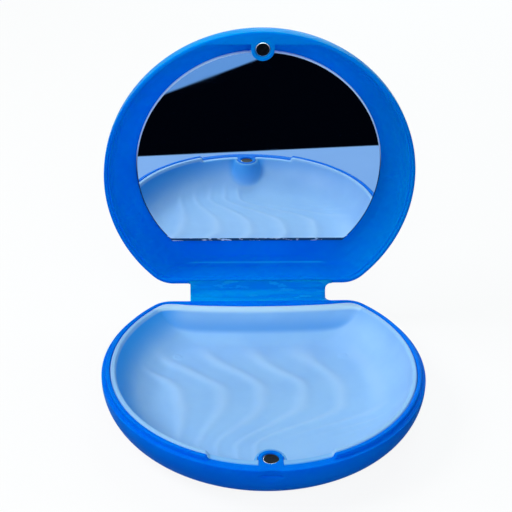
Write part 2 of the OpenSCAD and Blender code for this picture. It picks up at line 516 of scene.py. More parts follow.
@dataclass(frozen=True)
class MouldedPlastic:
    """Satin moulded plastic with faint flow clouds, a fine grain and slight gloss changes.

    The lid is paler towards its front, which stands at the top when open, as painted light,
    and greener and darker to the right, as painted shade. A pale line along the lid's inside
    corner is a painted highlight, and small pale flecks on the strap are painted glints.
    """

    name: str = "moulded_blue"
    colour: Colour = linear(0, 135, 246)
    deeper: Colour = linear(0, 127, 241)
    roughness: float = 0.3
    cloud_roughness: float = 0.08
    grain_roughness: float = 0.05
    gloss: float = 0.012
    tint: Colour = linear(0, 130, 255)
    # Colour of the painted highlight line and the painted glints.
    pale: Colour = linear(24, 178, 255)
    # Painted highlight: a pale line along the lid's inside corner, at one height.
    highlight_line_z_mm: float = 17.55
    highlight_line_mm: Span = (0.25, 0.0)
    highlight_line_reach_mm: Span = (21.0, 17.0)
    highlight_line_share: float = 0.85
    # Painted glints: small pale flecks, used on the strap.
    glint_fleck_share: float = 0.0
    fleck_mm: float = 1.3
    fleck_along: Triple = (0.3, 1.0, 1.0)
    fleck_edges: Span = (0.56, 0.62)
    # Painted light: paler towards the lid's front, which stands at the top when open.
    painted_top_light: Colour = linear(0, 152, 255)
    painted_top_light_mm: Span = (62.0, 90.0)
    # Painted shade: greener and darker on the lid's right.
    right: Colour = linear(0, 132, 222)
    right_shade_mm: Span = (6.0, 42.0)
    lid_mm: Span = (14.0, 20.0)
    milkiness: float = 1.0
    scatter: Triple = (0.2, 1.0, 1.0)
    depth_mm: float = 1.0
    cloud_mm: float = 16.0
    cloud_detail: float = 3.0
    cloud_edges: Span = (0.35, 0.65)
    grain_mm: float = 0.35
    grain_depth_mm: float = 0.02
    grain_strength: float = 0.25
    along: Triple = EVEN

    def build(self) -> bpy.types.Material:
        """Makes the material.

        Returns:
            The material.
        """
        material, graph = new_material(self.name)
        clouds = graph.noise(self.cloud_mm, self.cloud_detail, self.along)
        grain = graph.noise(self.grain_mm)
        # Painted glints as small pale flecks.
        flecks = graph.ease(graph.noise(self.fleck_mm, along=self.fleck_along), *self.fleck_edges)
        x, _, z = graph.parts(graph.place())
        # Painted highlight along the lid's inside corner.
        line = graph.ease_mm(abs(z - self.highlight_line_z_mm * MM), self.highlight_line_mm)
        line = line * graph.ease_mm(abs(x), self.highlight_line_reach_mm)
        # Painted highlights: the corner line and the glint flecks.
        painted_highlights = graph.larger(self.glint_fleck_share * flecks, self.highlight_line_share * line)
        tone = graph.mix(graph.ease(clouds, *self.cloud_edges), self.deeper, self.colour)
        # Painted shade on the lid's right side, kept off the base by height.
        right = graph.ease_mm(x, self.right_shade_mm)
        tone = graph.mix(right * graph.ease_mm(z, self.lid_mm), tone, self.right)
        # Painted light on the top of the open lid.
        tone = graph.mix(graph.ease_mm(z, self.painted_top_light_mm), tone, self.painted_top_light)
        rough = self.roughness + self.cloud_roughness * (clouds - NOISE_MEAN)
        close_material(
            graph,
            {
                "Base Color": graph.mix(painted_highlights, tone, self.pale),
                "Roughness": rough + self.grain_roughness * (grain - NOISE_MEAN),
                "Specular IOR Level": self.gloss,
                "Specular Tint": self.tint,
                "Subsurface Weight": self.milkiness,
                "Subsurface Radius": self.scatter,
                "Subsurface Scale": self.depth_mm * MM,
                "Normal": graph.bump(grain, self.grain_depth_mm, self.grain_strength),
            },
        )
        return material


@dataclass(frozen=True)
class SoftElastomer:
    """Soft, milky elastomer with a satin skin and faint clouds.

    It is painted deeper as shade on its left wall, at the foot of the back wall and round the
    magnet's tongue, and painted paler as light on the back's rim and as highlights on the
    crests of the ripples.
    """

    name: str = "soft_liner_blue"
    colour: Colour = linear(159, 205, 250)
    deeper: Colour = linear(152, 199, 247)
    # Painted shade on the left wall, whose middle is set off to the right, and round the magnet's tongue
    # below the rim.
    painted_wall_shade: Colour = linear(50, 166, 246)
    painted_wall_shade_mm: Span = (41.5, 34.5)
    painted_wall_shade_aside_mm: float = 3.0
    # Painted shade at the foot of the back wall.
    foot: Colour = linear(118, 178, 238)
    # Painted light on the back's rim.
    rim: Colour = linear(196, 228, 255)
    back_mm: Span = (24.3, 25.1)
    bow_per_mm: float = 0.0021
    foot_shade_mm: Span = (7.5, 12.0)
    rim_mm: Span = (12.3, 13.0)
    notch_mm: Span = (16.0, 15.0)
    notch_front_mm: Span = (0.0, -5.0)
    notch_drop_mm: float = 0.45
    boss_y_mm: float = -37.1
    boss_mm: Span = (7.0, 4.2)
    boss_shade_share: float = 0.8
    # Painted highlight on the ripples' crests.
    crest: Colour = linear(186, 220, 255)
    crest_highlight_share: float = 0.42
    roughness: float = 0.46
    cloud_roughness: float = 0.1
    gloss: float = 0.2
    milkiness: float = 0.2
    scatter: Triple = (0.4, 0.7, 1.0)
    depth_mm: float = 2.0
    cloud_mm: float = 9.0
    cloud_detail: float = 3.0
    cloud_edges: Span = (0.3, 0.7)
    grain_mm: float = 0.3
    grain_depth_mm: float = 0.02
    grain_strength: float = 0.2

    def build(self) -> bpy.types.Material:
        """Makes the material.

        Returns:
            The material.
        """
        material, graph = new_material(self.name)
        clouds = graph.noise(self.cloud_mm, self.cloud_detail)
        grain = graph.noise(self.grain_mm)
        x, y, z = graph.parts(graph.place())
        # Painted shade: deeper on the left wall and in a collar round the tongue; thick is 1 where none is
        # painted, and the rim stays clear.
        thick = graph.ease_mm(graph.hypot(x - self.painted_wall_shade_aside_mm * MM, y), self.painted_wall_shade_mm)
        notch = graph.ease_mm(abs(x), self.notch_mm) * graph.ease_mm(y, self.notch_front_mm)
        over = graph.ease_mm(z + self.notch_drop_mm * MM * notch, self.rim_mm)
        ahead = graph.larger(y - self.boss_y_mm * MM, 0.0)
        boss = graph.ease_mm(graph.hypot(x, ahead), self.boss_mm)
        thick = graph.larger(thick * (1.0 - self.boss_shade_share * boss), over)
        milky = graph.mix(graph.ease(clouds, *self.cloud_edges), self.deeper, self.colour)
        # Painted highlight: the ripples' crests are paler.
        ridge = graph.value("ShaderNodeAttribute", "Fac", {"attribute_name": CREST})
        milky = graph.mix(self.crest_highlight_share * ridge, milky, self.crest)
        # Painted shade at the back wall's foot and painted light on the back's rim.
        back = graph.ease_mm(y - (self.bow_per_mm / MM) * x * x, self.back_mm)
        wall = graph.mix(graph.ease_mm(z, self.foot_shade_mm), self.foot, milky)
        milky = graph.mix(back, milky, graph.mix(over, wall, self.rim))
        close_material(
            graph,
            {
                "Base Color": graph.mix(thick, self.painted_wall_shade, milky),
                "Roughness": self.roughness + self.cloud_roughness * (clouds - NOISE_MEAN),
                "Specular IOR Level": self.gloss,
                "Subsurface Weight": self.milkiness,
                "Subsurface Radius": self.scatter,
                "Subsurface Scale": self.depth_mm * MM,
                "Normal": graph.bump(grain, self.grain_depth_mm, self.grain_strength),
            },
        )
        return material


@dataclass(frozen=True)
class SilveredFace:
    """Face of a mirror, with the faintest haze on it."""

    name: str = "silvered_face"
    colour: Colour = (0.84, 0.88, 0.93, 1.0)
    tarnish: Colour = (0.8, 0.85, 0.91, 1.0)
    film_mm: float = 14.0
    film_detail: float = 4.0
    film_edges: Span = (0.4, 0.7)
    roughness: float = 0.01
    haze: float = 0.035
    haze_edges: Span = (0.5, 0.9)

    def build(self) -> bpy.types.Material:
        """Makes the material.

        Returns:
            The material.
        """
        material, graph = new_material(self.name)
        film = graph.noise(self.film_mm, self.film_detail)
        close_material(
            graph,
            {
                "Base Color": graph.mix(graph.ease(film, *self.film_edges), self.tarnish, self.colour),
                "Metallic": 1.0,
                "Roughness": self.roughness + self.haze * graph.ease(film, *self.haze_edges),
            },
        )
        return material


@dataclass(frozen=True)
class CutEdge:
    """Ground edge of a mirror: pale above as painted light, dark below as painted shade, with pale chip
    glints and a painted highlight line along the low edge.
    """

    name: str = "mirror_cut_edge"
    colour: Colour = linear(250, 252, 255)
    # Painted shade on the edge below; the pale colour above is painted light.
    painted_edge_shade: Colour = linear(44, 78, 110)
    turn_mm: Span = (46.0, 56.0)
    low_mm: float = 25.2
    low_reach_mm: Span = (2.0, 1.0)
    # Painted glints as pale chip specks, and a painted highlight line, along the low edge.
    chip_mm: float = 1.2
    chip_detail: float = 3.0
    chip_along: Triple = (0.4, 1.0, 1.0)
    chip_edges: Span = (0.54, 0.64)
    chip_reach_mm: Span = (0.54, 0.36)
    highlight_line_up_mm: float = 1.0
    highlight_line_mm: Span = (0.2, 0.1)
    roughness: float = 0.25
    chip_roughness: float = 0.2
    gloss: float = 0.15

    def build(self) -> bpy.types.Material:
        """Makes the material.

        Returns:
            The material.
        """
        material, graph = new_material(self.name)
        _, _, z = graph.parts(graph.place())
        up = z - self.low_mm * MM
        low = graph.ease_mm(up, self.low_reach_mm)
        # Painted glints along the low edge.
        chip_glints = graph.ease(graph.noise(self.chip_mm, self.chip_detail, self.chip_along), *self.chip_edges)
        chip_glints = chip_glints * graph.ease_mm(up, self.chip_reach_mm)
        line = graph.ease_mm(abs(up - self.highlight_line_up_mm * MM), self.highlight_line_mm)
        # Painted light on the upper half of the edge, painted shade below it.
        above = graph.ease_mm(z, self.turn_mm) * (1.0 - low)
        pale = graph.larger(above, low * graph.larger(chip_glints, line))
        close_material(
            graph,
            {
                "Base Color": graph.mix(pale, self.painted_edge_shade, self.colour),
                "Roughness": self.roughness + self.chip_roughness * chip_glints,
                "Specular IOR Level": self.gloss,
            },
        )
        return material


@dataclass(frozen=True)
class PlatedMagnet:
    """Dark plated disc, a little scuffed."""

    name: str = "plated_magnet"
    colour: Colour = (0.004, 0.004, 0.006, 1.0)
    scuffed: Colour = (0.02, 0.017, 0.017, 1.0)
    gloss: float = 0.04
    scuff_mm: float = 0.8
    scuff_detail: float = 4.0
    scuff_edges: Span = (0.5, 0.75)
    scuff_depth_mm: float = 0.05
    scuff_strength: float = 0.15
    roughness: float = 0.2
    scuff_roughness: float = 0.25

    def build(self) -> bpy.types.Material:
        """Makes the material.

        Returns:
            The material.
        """
        material, graph = new_material(self.name)
        scuffs = graph.noise(self.scuff_mm, self.scuff_detail)
        close_material(
            graph,
            {
                "Base Color": graph.mix(graph.ease(scuffs, *self.scuff_edges), self.colour, self.scuffed),
                "Specular IOR Level": self.gloss,
                "Roughness": self.roughness + self.scuff_roughness * scuffs,
                "Normal": graph.bump(scuffs, self.scuff_depth_mm, self.scuff_strength),
            },
        )
        return material


@dataclass(frozen=True)
class BrightPlating:
    """Edge of a magnet: dark plating, turned to bright metal as a painted highlight to the front left in the
    base and all round in the lid, with faint wear in the bright part.
    """

    name: str = "bright_plating"
    colour: Colour = (0.86, 0.87, 0.88, 1.0)
    worn: Colour = (0.6, 0.6, 0.6, 1.0)
    plated: Colour = (0.03, 0.04, 0.06, 1.0)
    # Painted highlight: where the edge turns bright.
    middle_mm: float = -37.1
    reach_mm: Span = (-0.6, 1.8)
    lid_mm: Span = (20.0, 30.0)
    wear_mm: float = 0.5
    wear_detail: float = 3.0
    wear_edges: Span = (0.4, 0.7)
    roughness: float = 0.14
    wear_roughness: float = 0.15
    gloss: float = 0.1

    def build(self) -> bpy.types.Material:
        """Makes the material.

        Returns:
            The material.
        """
        material, graph = new_material(self.name)
        wear = graph.noise(self.wear_mm, self.wear_detail)
        x, y, z = graph.parts(graph.place())
        # Painted highlight: bright metal to the front left of the base magnet and on the lid's.
        ahead = graph.ease_mm(self.middle_mm * MM - x - y, self.reach_mm)
        highlight_crescent = graph.larger(ahead, graph.ease_mm(z, self.lid_mm))
        bright = graph.mix(graph.ease(wear, *self.wear_edges), self.worn, self.colour)
        close_material(
            graph,
            {
                "Base Color": graph.mix(highlight_crescent, self.plated, bright),
                "Metallic": highlight_crescent,
                "Specular IOR Level": self.gloss,
                "Roughness": self.roughness + self.wear_roughness * wear,
            },
        )
        return material


@dataclass(frozen=True)
class FoamTape:
    """White double-sided foam tape with fine open cells."""

    name: str = "foam_tape"
    colour: Colour = linear(236, 236, 230)
    cells: Colour = linear(205, 205, 198)
    cell_mm: float = 0.4
    cell_edges: Span = (0.1, 0.6)
    cell_depth_mm: float = 0.1
    cell_strength: float = 0.5
    roughness: float = 0.7
    cell_roughness: float = 0.2

    def build(self) -> bpy.types.Material:
        """Makes the material.

        Returns:
            The material.
        """
        material, graph = new_material(self.name)
        pattern = {"Vector": graph.place(), "Scale": 1.0 / (self.cell_mm * MM)}
        pores = graph.value("ShaderNodeTexVoronoi", "Distance", {}, pattern)
        close_material(
            graph,
            {
                "Base Color": graph.mix(graph.ease(pores, *self.cell_edges), self.cells, self.colour),
                "Roughness": self.roughness + self.cell_roughness * pores,
                "Normal": graph.bump(pores, self.cell_depth_mm, self.cell_strength),
            },
        )
        return material


@dataclass(frozen=True)
class Finishes:
    """The materials of the case, made once and shared by its pieces."""

    lid: bpy.types.Material
    base: bpy.types.Material
    strap: bpy.types.Material
    liner: bpy.types.Material
    mirror_face: bpy.types.Material
    mirror_edge: bpy.types.Material
    magnet_face: bpy.types.Material
    magnet_edge: bpy.types.Material
    tape: bpy.types.Material

    @classmethod
    def build(cls) -> "Finishes":
        """Makes all the materials.

        Returns:
            The finishes. Base and strap vary the lid's plastic: the base is a deeper copy, as
            painted shade, and the strap a paler one, as painted light with some living-hinge
            whitening.
        """
        # Painted shade: the base is a deeper copy of the lid's plastic.
        base = MouldedPlastic(
            "moulded_blue_base_shaded", linear(0, 122, 242), linear(0, 116, 238), highlight_line_share=0.0
        )
        # Painted light: the strap is a paler copy of the lid's plastic, with some living-hinge whitening; its
        # lengthwise streaks and flecks are painted sheen and glints.
        strap = MouldedPlastic(
            "moulded_blue_strap_lit",
            linear(0, 172, 252),
            linear(0, 150, 242),
            gloss=0.1,
            highlight_line_share=0.0,
            glint_fleck_share=0.8,
            depth_mm=1.2,
            cloud_mm=1.6,
            along=(0.07, 1.0, 1.0),
        )
        return cls(
            lid=MouldedPlastic().build(),
            base=base.build(),
            strap=strap.build(),
            liner=SoftElastomer().build(),
            mirror_face=SilveredFace().build(),
            mirror_edge=CutEdge().build(),
            magnet_face=PlatedMagnet().build(),
            magnet_edge=BrightPlating().build(),
            tape=FoamTape().build(),
        )


@dataclass(frozen=True)
class CaseSizes:
    """Sizes that several pieces share. The first five come from the frame."""

    radius: float
    back: float
    lip_top: float
    hinge: Vector
    open_angle: float
    rim_gap: float = 0.2
    lid_height: float = 11.2
    notch_half: float = 15.0
    notch_ease: float = 0.35
    magnet_y: float = -37.1
    magnet_sunk: float = 0.3
    magnet_thick: float = 2.0
    tongue_radius: float = 3.05
    tongue_edge: float = 0.25
    tongue_cover: float = 0.8
    tongue_neck: float = 1.0
    pocket_radius: float = 2.05
    pocket_chamfer: float = 0.12

    @classmethod
    def from_frame(cls, frame: dict) -> "CaseSizes":
        """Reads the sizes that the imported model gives.


        Returns:
            The sizes, in millimetres.
        """
        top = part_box("base_shell")[1] / MM
        joint = frame["joints"][0]
        hinge = Vector(joint["pos_m"]) / MM
        return cls(top.x, top.y, top.z, hinge, -math.radians(joint["range_deg"][0]))

    @property
    def rim_top(self) -> float:
        """Height of the rim that the lid lands on."""
        return self.hinge.z - self.rim_gap / 2

    @property
    def outline(self) -> CaseOutline:
        """Outer plan of base and lid."""
        return CaseOutline(self.radius, self.back)

    def notch(self, points: np.ndarray) -> np.ndarray:
        """How much each point lies in the front break of the lip, from 0 to 1."""
        inside = 1.0 - smoothstep(
            self.notch_half - self.notch_ease, self.notch_half + self.notch_ease, np.abs(points[:, 0])
        )
        return inside * (points[:, 1] < 0.0)

    def swung(self) -> Matrix:
        """Where the lid's pieces go, in metres: from shut on z = 0 to standing open."""
        lid_rim = self.rim_top + self.rim_gap
        return (
            Matrix.Translation(self.hinge * MM)
            @ Matrix.Rotation(-self.open_angle, 4, "X")
            @ Matrix.Translation(Vector((0.0, -self.hinge.y, lid_rim - self.hinge.z)) * MM)
        )

    def tongue_rings(self, top: float, down: float, depth: float, rounding: float) -> list[np.ndarray]:
        """Rings of the tongue that carries a magnet, from its root to the pocket's floor.

        Args:
            top: Height of its face.
            down: 1 if the tongue lies above its face and -1 if it lies below.
            depth: How far it is from its face to the far side of the shell.
            rounding: Radius of the shell's outside, which the tongue stays within.

        Returns:
            The rings, for one loft.
        """
        edge = self.tongue_edge
        middle = np.array([0.0, self.magnet_y])
        turns = np.linspace(0.0, math.pi, 49)
        rear = self.magnet_y + self.tongue_radius

        def plan(inset: float, deep: float = 0.0) -> np.ndarray:
            """Outline of the tongue.

            Args:
                inset: How far it is drawn in all round.
                deep: How far below the tongue's face it lies.

            Returns:
                One row of x and y for each point.
            """
            r = self.tongue_radius - inset
            straight = np.linspace(self.magnet_y, self.tongue_cover - self.radius, 13)[1:]
            across = np.linspace(-r, r, 25)[1:-1]
            arc = np.column_stack([r * np.cos(turns), self.magnet_y + r * np.sin(turns)])
            left = np.column_stack([np.full(len(straight), -r), straight])
            ahead = np.column_stack([across, np.full(len(across), straight[-1])])
            right = np.column_stack([np.full(len(straight), r), straight[::-1]])
            points = np.concatenate([arc, left, ahead, right])
            drawn = drawn_in(depth - deep, rounding)
            points[:, 1] = rear + (points[:, 1] - rear) * (1.0 - drawn / (rear - straight[-1]))
            return points

        def bore(radius: float) -> np.ndarray:
            """Circle whose points face those of the tongue's outline."""
            away = plan(edge) - middle
            return middle + radius * away / np.linalg.norm(away, axis=1)[:, None]

        rings = []
        for deep in np.linspace(depth - self.tongue_cover, self.tongue_neck, 8):
            rings.append(at_height(plan(0.0, deep), top + down * deep))
        for turn in np.linspace(0.0, math.pi / 2, 5):
            height = top + down * edge * (1 - math.sin(turn))
            rings.append(at_height(plan(edge * (1 - math.cos(turn))), height))
        pocket = self.magnet_sunk + self.magnet_thick
        rings.append(at_height(bore(self.pocket_radius + self.pocket_chamfer), top))
        rings.append(at_height(bore(self.pocket_radius), top + down * self.pocket_chamfer))
        rings.append(at_height(bore(self.pocket_radius), top + down * pocket))
        return rings


@dataclass(frozen=True)
class BaseShell:
    """Moulded base: rounded side, flat foot, raised lip with a break, tongue and thumb dent."""

    case: CaseSizes
    side_round: float = 11.7
    back_round: float = 6.0
    wall: float = 2.15
    back_wall: float = 2.65
    wall_from: float = 0.05
    rim_round: float = 0.35
    lip_side: float = 1.1
    lip_back: float = 1.6
    lip_foot: float = 0.22
    lip_round: float = 0.3
    flat_reach: float = 0.4
    flat_round: float = 0.1
    mouth_round: float = 0.22
    bow: float = 1.5
    dent_depth: float = 0.5
    dent_radius: float = 12.0
    dent_drop: float = 2.2
    crease_z: float = 10.3
    crease_depth: float = 0.3
    crease_half: float = 0.45
    crease_reach: Span = (1.8, 3.7)
    skin: float = 0.01

    def outside(self) -> np.ndarray:
        """Section of the outside, from the foot to the side wall.

        Returns:
            The section's rows, with closer ones at the thumb's crease.
        """
        rows = []
        crease = self.crease_z + self.crease_half * np.linspace(-1.0, 1.0, 5)
        turns = np.concatenate([np.linspace(0.0, math.pi / 2, 37), np.arccos(1.0 - crease / self.side_round)])
        for turn in np.sort(turns):
            height = self.side_round * (1 - math.cos(turn))
            side = self.side_round * (1 - math.sin(turn))
            rows.append(Corner(side, drawn_in(height, self.back_round), height).row())
        return np.array(rows)

    def rim(self, broken: bool) -> np.ndarray:
        """Section over the rim and the lip.

        Args:
            broken: Whether the section is in the break, where the lip lies flat.

        Returns:
            The section's rows, as many in either case.
        """
        rim = self.case.rim_top
        lip = rim if broken else self.case.lip_top
        reach = self.flat_reach if broken else 0.0
        foot = self.flat_round if broken else self.lip_foot
        edge = self.flat_round if broken else self.lip_round
        side, back = self.lip_side, self.lip_back
        return rounded(
            [
                Corner(0.0, 0.0, self.side_round + self.wall_from),
                Corner(0.0, 0.0, rim, self.rim_round),
                Corner(side, back, rim, foot, side),
                Corner(side + reach, back + reach, lip, edge, side + reach),
                Corner(self.wall, self.back_wall, lip, self.mouth_round, self.wall, self.bow),
                Corner(self.wall, self.back_wall, self.side_round, 0.0, self.wall, self.bow),
            ]
        )

    def inside(self) -> np.ndarray:
        """Section of the cavity, from its wall to its floor.

        Returns:
            The section's rows.
        """
        rows = []
        radius = self.side_round - self.wall
        for turn in np.linspace(0.1, math.pi / 2, 10):
            height = self.side_round - radius * math.sin(turn)
            side = self.side_round - radius * math.cos(turn)
            back = self.back_wall + drawn_in(height - self.wall, self.back_round - self.wall)
            rows.append(Corner(side, back, height, 0.0, self.wall, self.bow).row())
        return np.array(rows)

    def dented(self, ring: np.ndarray) -> np.ndarray:
        """Presses the round thumb dent and its crease into the front of a ring.

        Args:
            ring: Rows of x, y and z, which are changed.

        Returns:
            The ring.
        """
        middle = self.case.rim_top - self.dent_drop
        away = ring[:, 0] ** 2 + (ring[:, 2] - middle) ** 2
        dent = np.sqrt(np.clip(self.dent_radius**2 - away, 0.0, None)) - self.dent_radius + self.dent_depth
        front = np.where(away < self.dent_radius**2, dent, -1.0) - self.case.radius
        pressed = np.maximum(ring[:, 1], front)
        near = np.clip(1.0 - np.abs(ring[:, 2] - self.crease_z) / self.crease_half, 0.0, None)
        pressed += self.crease_depth * near * (1.0 - smoothstep(*self.crease_reach, np.abs(ring[:, 0])))
        ring[:, 1] = np.where(ring[:, 1] < 0.0, pressed, ring[:, 1])
        return ring

    def build(self, finishes: Finishes) -> bpy.types.Object:
        """Makes the base and dresses it.

        Args:
            finishes: The case's materials.

        Returns:
            The piece.
        """
        outline = self.case.outline
        share = self.case.notch(outline.ring(self.wall, self.back_wall, self.wall))[:, None]
        plain = outline.rings(self.rim(False))
        broken = outline.rings(self.rim(True))
        rim = [lip * (1 - share) + flat * share for lip, flat in zip(plain, broken)]
        bowl = SolidBuilder()
        outside = [self.dented(ring) for ring in outline.rings(self.outside()) + rim]
        bowl.loft(outside + outline.rings(self.inside()))
        face = self.case.rim_top + self.skin
        tongue = SolidBuilder()
        tongue.loft(self.case.tongue_rings(face, -1.0, face, self.side_round))
        piece = united("base_moulding", [bowl, tongue])
        piece.data.materials.append(finishes.base)
        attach(piece, Body.BASE.value)
        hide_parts("base_shell")
        return piece


@dataclass(frozen=True)
class Ripples:
    """Ridges that sway across the liner's floor, and draw together towards the front."""

    origin: float = -22.3
    pitch: float = 10.95
    back_pitch: float = 13.7
    front_pitch: float = 4.8
    sway: float = 20.9
    back_bend: Span = (0.0, 21.5)
    front_bend: Span = (-5.5, -23.5)
    calm: Span = (4.0, 5.2)
    height: float = 0.36
    sharpness: float = 2.8
    drift: float = 0.5
    drift_size: float = 17.0
    drift_detail: float = 1.0
    thinning: float = 0.8

    def tree(self, material: bpy.types.Material) -> tuple[bpy.types.NodeTree, dict[str, float]]:
        """Makes the Geometry Nodes tree that raises the ridges.

        Args:
            material: What the rippled mesh is made of.

        Returns:
            The tree, and the value of each of its named inputs by the input's identifier.
        """
        tree = bpy.data.node_groups.new("liner_ripples", "GeometryNodeTree")
        tree.interface.new_socket("Liner", in_out="INPUT", socket_type="NodeSocketGeometry")
        sizes = {
            "Origin": self.origin * MM,
            "Pitch": self.pitch * MM,
            "Back pitch": self.back_pitch * MM,
            "Front pitch": self.front_pitch * MM,
            "Sway": self.sway * MM,
            "Height": self.height * MM,
        }
        values = {}
        for name, size in sizes.items():
            socket = tree.interface.new_socket(name, in_out="INPUT", socket_type="NodeSocketFloat")
            values[socket.identifier] = size
        tree.interface.new_socket("Rippled", in_out="OUTPUT", socket_type="NodeSocketGeometry")
        graph = Graph(tree)
        given = graph.node("NodeGroupInput")
        size = {name: Value(graph, given.outputs[name]) for name in sizes}
        x, y, _ = graph.parts(graph.value("GeometryNodeInputPosition", 0))
        behind = graph.ease_mm(y, self.back_bend)
        ahead = graph.ease_mm(y, self.front_bend)
        pitch = size["Pitch"] + (size["Back pitch"] - size["Pitch"]) * behind
        pitch = pitch + (size["Front pitch"] - size["Pitch"]) * ahead
        phase = (x - size["Origin"] + size["Sway"] * behind) / pitch
        pattern = {"Scale": 1.0 / (self.drift_size * MM), "Detail": self.drift_detail}
        cloud = graph.value("ShaderNodeTexNoise", 0, {}, pattern)
        phase = phase + self.drift * (cloud - NOISE_MEAN)
        crest = (0.5 + 0.5 * graph.math("COSINE", math.tau * phase)) ** self.sharpness
        calmed = 1.0 - ahead * graph.ease(phase, *self.calm)
        crest = crest * (pitch / size["Pitch"]) ** self.thinning * calmed
        kind = {"data_type": "FLOAT"}
        crest = crest * graph.value("GeometryNodeInputNamedAttribute", 0, kind, {"Name": FLOOR})
        marked = graph.value(
            "GeometryNodeStoreNamedAttribute",
            0,
            {**kind, "domain": "POINT"},
            {"Geometry": Value(graph, given.outputs["Liner"]), "Name": CREST, "Value": crest},
        )
        lift = graph.value("ShaderNodeCombineXYZ", 0, {}, {"Z": size["Height"] * crest})
        raised = graph.value("GeometryNodeSetPosition", 0, {}, {"Geometry": marked, "Offset": lift})
        real = graph.value("GeometryNodeRealizeInstances", 0, {}, {"Geometry": raised})
        dressed = graph.value("GeometryNodeSetMaterial", 0, {}, {"Geometry": real, "Material": material})
        graph.node("NodeGroupOutput", {}, {"Rippled": dressed})
        return tree, values

    def raise_on(self, piece: bpy.types.Object, material: bpy.types.Material) -> None:
        """Gives a piece the ridges and leaves it a plain mesh.

        Args:
            piece: The piece, with its share of ridges in its floor attribute.
            material: What the rippled mesh is made of.
        """
        tree, values = self.tree(material)
        modifier = piece.modifiers.new("ripples", "NODES")
        modifier.node_group = tree
        for identifier, value in values.items():
            modifier[identifier] = value
        shown = piece.evaluated_get(bpy.context.evaluated_depsgraph_get())
        mesh = bpy.data.meshes.new_from_object(shown)
        piece.modifiers.remove(modifier)
        old = piece.data
        piece.data = mesh
        bpy.data.meshes.remove(old)


